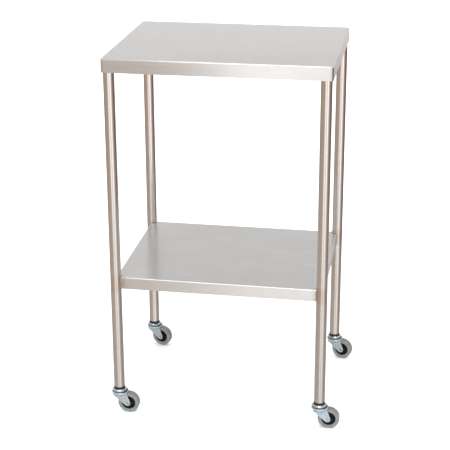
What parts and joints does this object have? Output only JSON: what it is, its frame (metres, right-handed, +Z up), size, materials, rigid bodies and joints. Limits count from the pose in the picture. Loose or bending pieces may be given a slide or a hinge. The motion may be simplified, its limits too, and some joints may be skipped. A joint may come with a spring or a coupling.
{
  "type": "rolling work table",
  "caption": "Small stainless steel work table on swivel casters: folded top with skirt, round tube legs and a folded lower shelf welded between them.",
  "frame": {"origin": "on the floor, under the middle of the table's top", "axes": "+Z up, +X along the top's long side, +Y from the front to the back"},
  "size_m": [0.5438, 0.4155, 0.8636],
  "materials": {
    "stainless_sheet": "satin, brushed lengthwise",
    "stainless_tube": "polished tube",
    "weld_bead": "ground weld with a heat tint",
    "black_nylon": "matt moulded",
    "zinc_plate": "bright bluish zinc plating",
    "bearing_steel": "ground",
    "grey_rubber": "matt grey",
    "black_core": "matt moulded"
  },
  "bodies": {
    "table": {"table_top": "stainless_sheet", "top_stiffener": "stainless_sheet", "lower_shelf": "stainless_sheet", "shelf_stiffener": "stainless_sheet", "top_weld_beads": "weld_bead", "shelf_weld_beads": "weld_bead", "leg_front_left": "stainless_tube", "insert_front_left": "black_nylon", "kingpin_front_left": "bearing_steel", "race_cap_front_left": "zinc_plate", "lower_washer_front_left": "zinc_plate", "leg_front_right": "stainless_tube", "insert_front_right": "black_nylon", "kingpin_front_right": "bearing_steel", "race_cap_front_right": "zinc_plate", "lower_washer_front_right": "zinc_plate", "leg_back_left": "stainless_tube", "insert_back_left": "black_nylon", "kingpin_back_left": "bearing_steel", "race_cap_back_left": "zinc_plate", "lower_washer_back_left": "zinc_plate", "leg_back_right": "stainless_tube", "insert_back_right": "black_nylon", "kingpin_back_right": "bearing_steel", "race_cap_back_right": "zinc_plate", "lower_washer_back_right": "zinc_plate"},
    "swivel_front_left": {"fork_front_left": "zinc_plate", "upper_balls_front_left": "bearing_steel", "lower_balls_front_left": "bearing_steel", "axle_front_left": "zinc_plate", "axle_nut_front_left": "zinc_plate", "spanner_front_left": "bearing_steel"},
    "wheel_front_left": {"wheel_core_front_left": "black_core", "tyre_front_left": "grey_rubber"},
    "swivel_front_right": {"fork_front_right": "zinc_plate", "upper_balls_front_right": "bearing_steel", "lower_balls_front_right": "bearing_steel", "axle_front_right": "zinc_plate", "axle_nut_front_right": "zinc_plate", "spanner_front_right": "bearing_steel"},
    "wheel_front_right": {"wheel_core_front_right": "black_core", "tyre_front_right": "grey_rubber"},
    "swivel_back_left": {"fork_back_left": "zinc_plate", "upper_balls_back_left": "bearing_steel", "lower_balls_back_left": "bearing_steel", "axle_back_left": "zinc_plate", "axle_nut_back_left": "zinc_plate", "spanner_back_left": "bearing_steel"},
    "wheel_back_left": {"wheel_core_back_left": "black_core", "tyre_back_left": "grey_rubber"},
    "swivel_back_right": {"fork_back_right": "zinc_plate", "upper_balls_back_right": "bearing_steel", "lower_balls_back_right": "bearing_steel", "axle_back_right": "zinc_plate", "axle_nut_back_right": "zinc_plate", "spanner_back_right": "bearing_steel"},
    "wheel_back_right": {"wheel_core_back_right": "black_core", "tyre_back_right": "grey_rubber"}
  },
  "joints": [
    {"name": "swivel_turn_front_left", "type": "hinge", "parent": "table", "child": "swivel_front_left", "pos_m": [-0.2387, -0.1879, 0.0536], "axis": [0, 0, 1], "continuous": true},
    {"name": "wheel_roll_front_left", "type": "hinge", "parent": "swivel_front_left", "child": "wheel_front_left", "pos_m": [-0.2164, -0.1879, 0.0254], "axis": [0, 1, 0], "continuous": true},
    {"name": "swivel_turn_front_right", "type": "hinge", "parent": "table", "child": "swivel_front_right", "pos_m": [0.2387, -0.1879, 0.0536], "axis": [0, 0, 1], "continuous": true},
    {"name": "wheel_roll_front_right", "type": "hinge", "parent": "swivel_front_right", "child": "wheel_front_right", "pos_m": [0.26099, -0.18712, 0.0254], "axis": [-0.0349, 0.9994, 0], "continuous": true},
    {"name": "swivel_turn_back_left", "type": "hinge", "parent": "table", "child": "swivel_back_left", "pos_m": [-0.2387, 0.1879, 0.0536], "axis": [0, 0, 1], "continuous": true},
    {"name": "wheel_roll_back_left", "type": "hinge", "parent": "swivel_back_left", "child": "wheel_back_left", "pos_m": [-0.21697, 0.18288, 0.0254], "axis": [0.225, 0.9744, 0], "continuous": true},
    {"name": "swivel_turn_back_right", "type": "hinge", "parent": "table", "child": "swivel_back_right", "pos_m": [0.2387, 0.1879, 0.0536], "axis": [0, 0, 1], "continuous": true},
    {"name": "wheel_roll_back_right", "type": "hinge", "parent": "swivel_back_right", "child": "wheel_back_right", "pos_m": [0.26051, 0.18326, 0.0254], "axis": [0.2079, 0.9781, 0], "continuous": true}
  ]
}
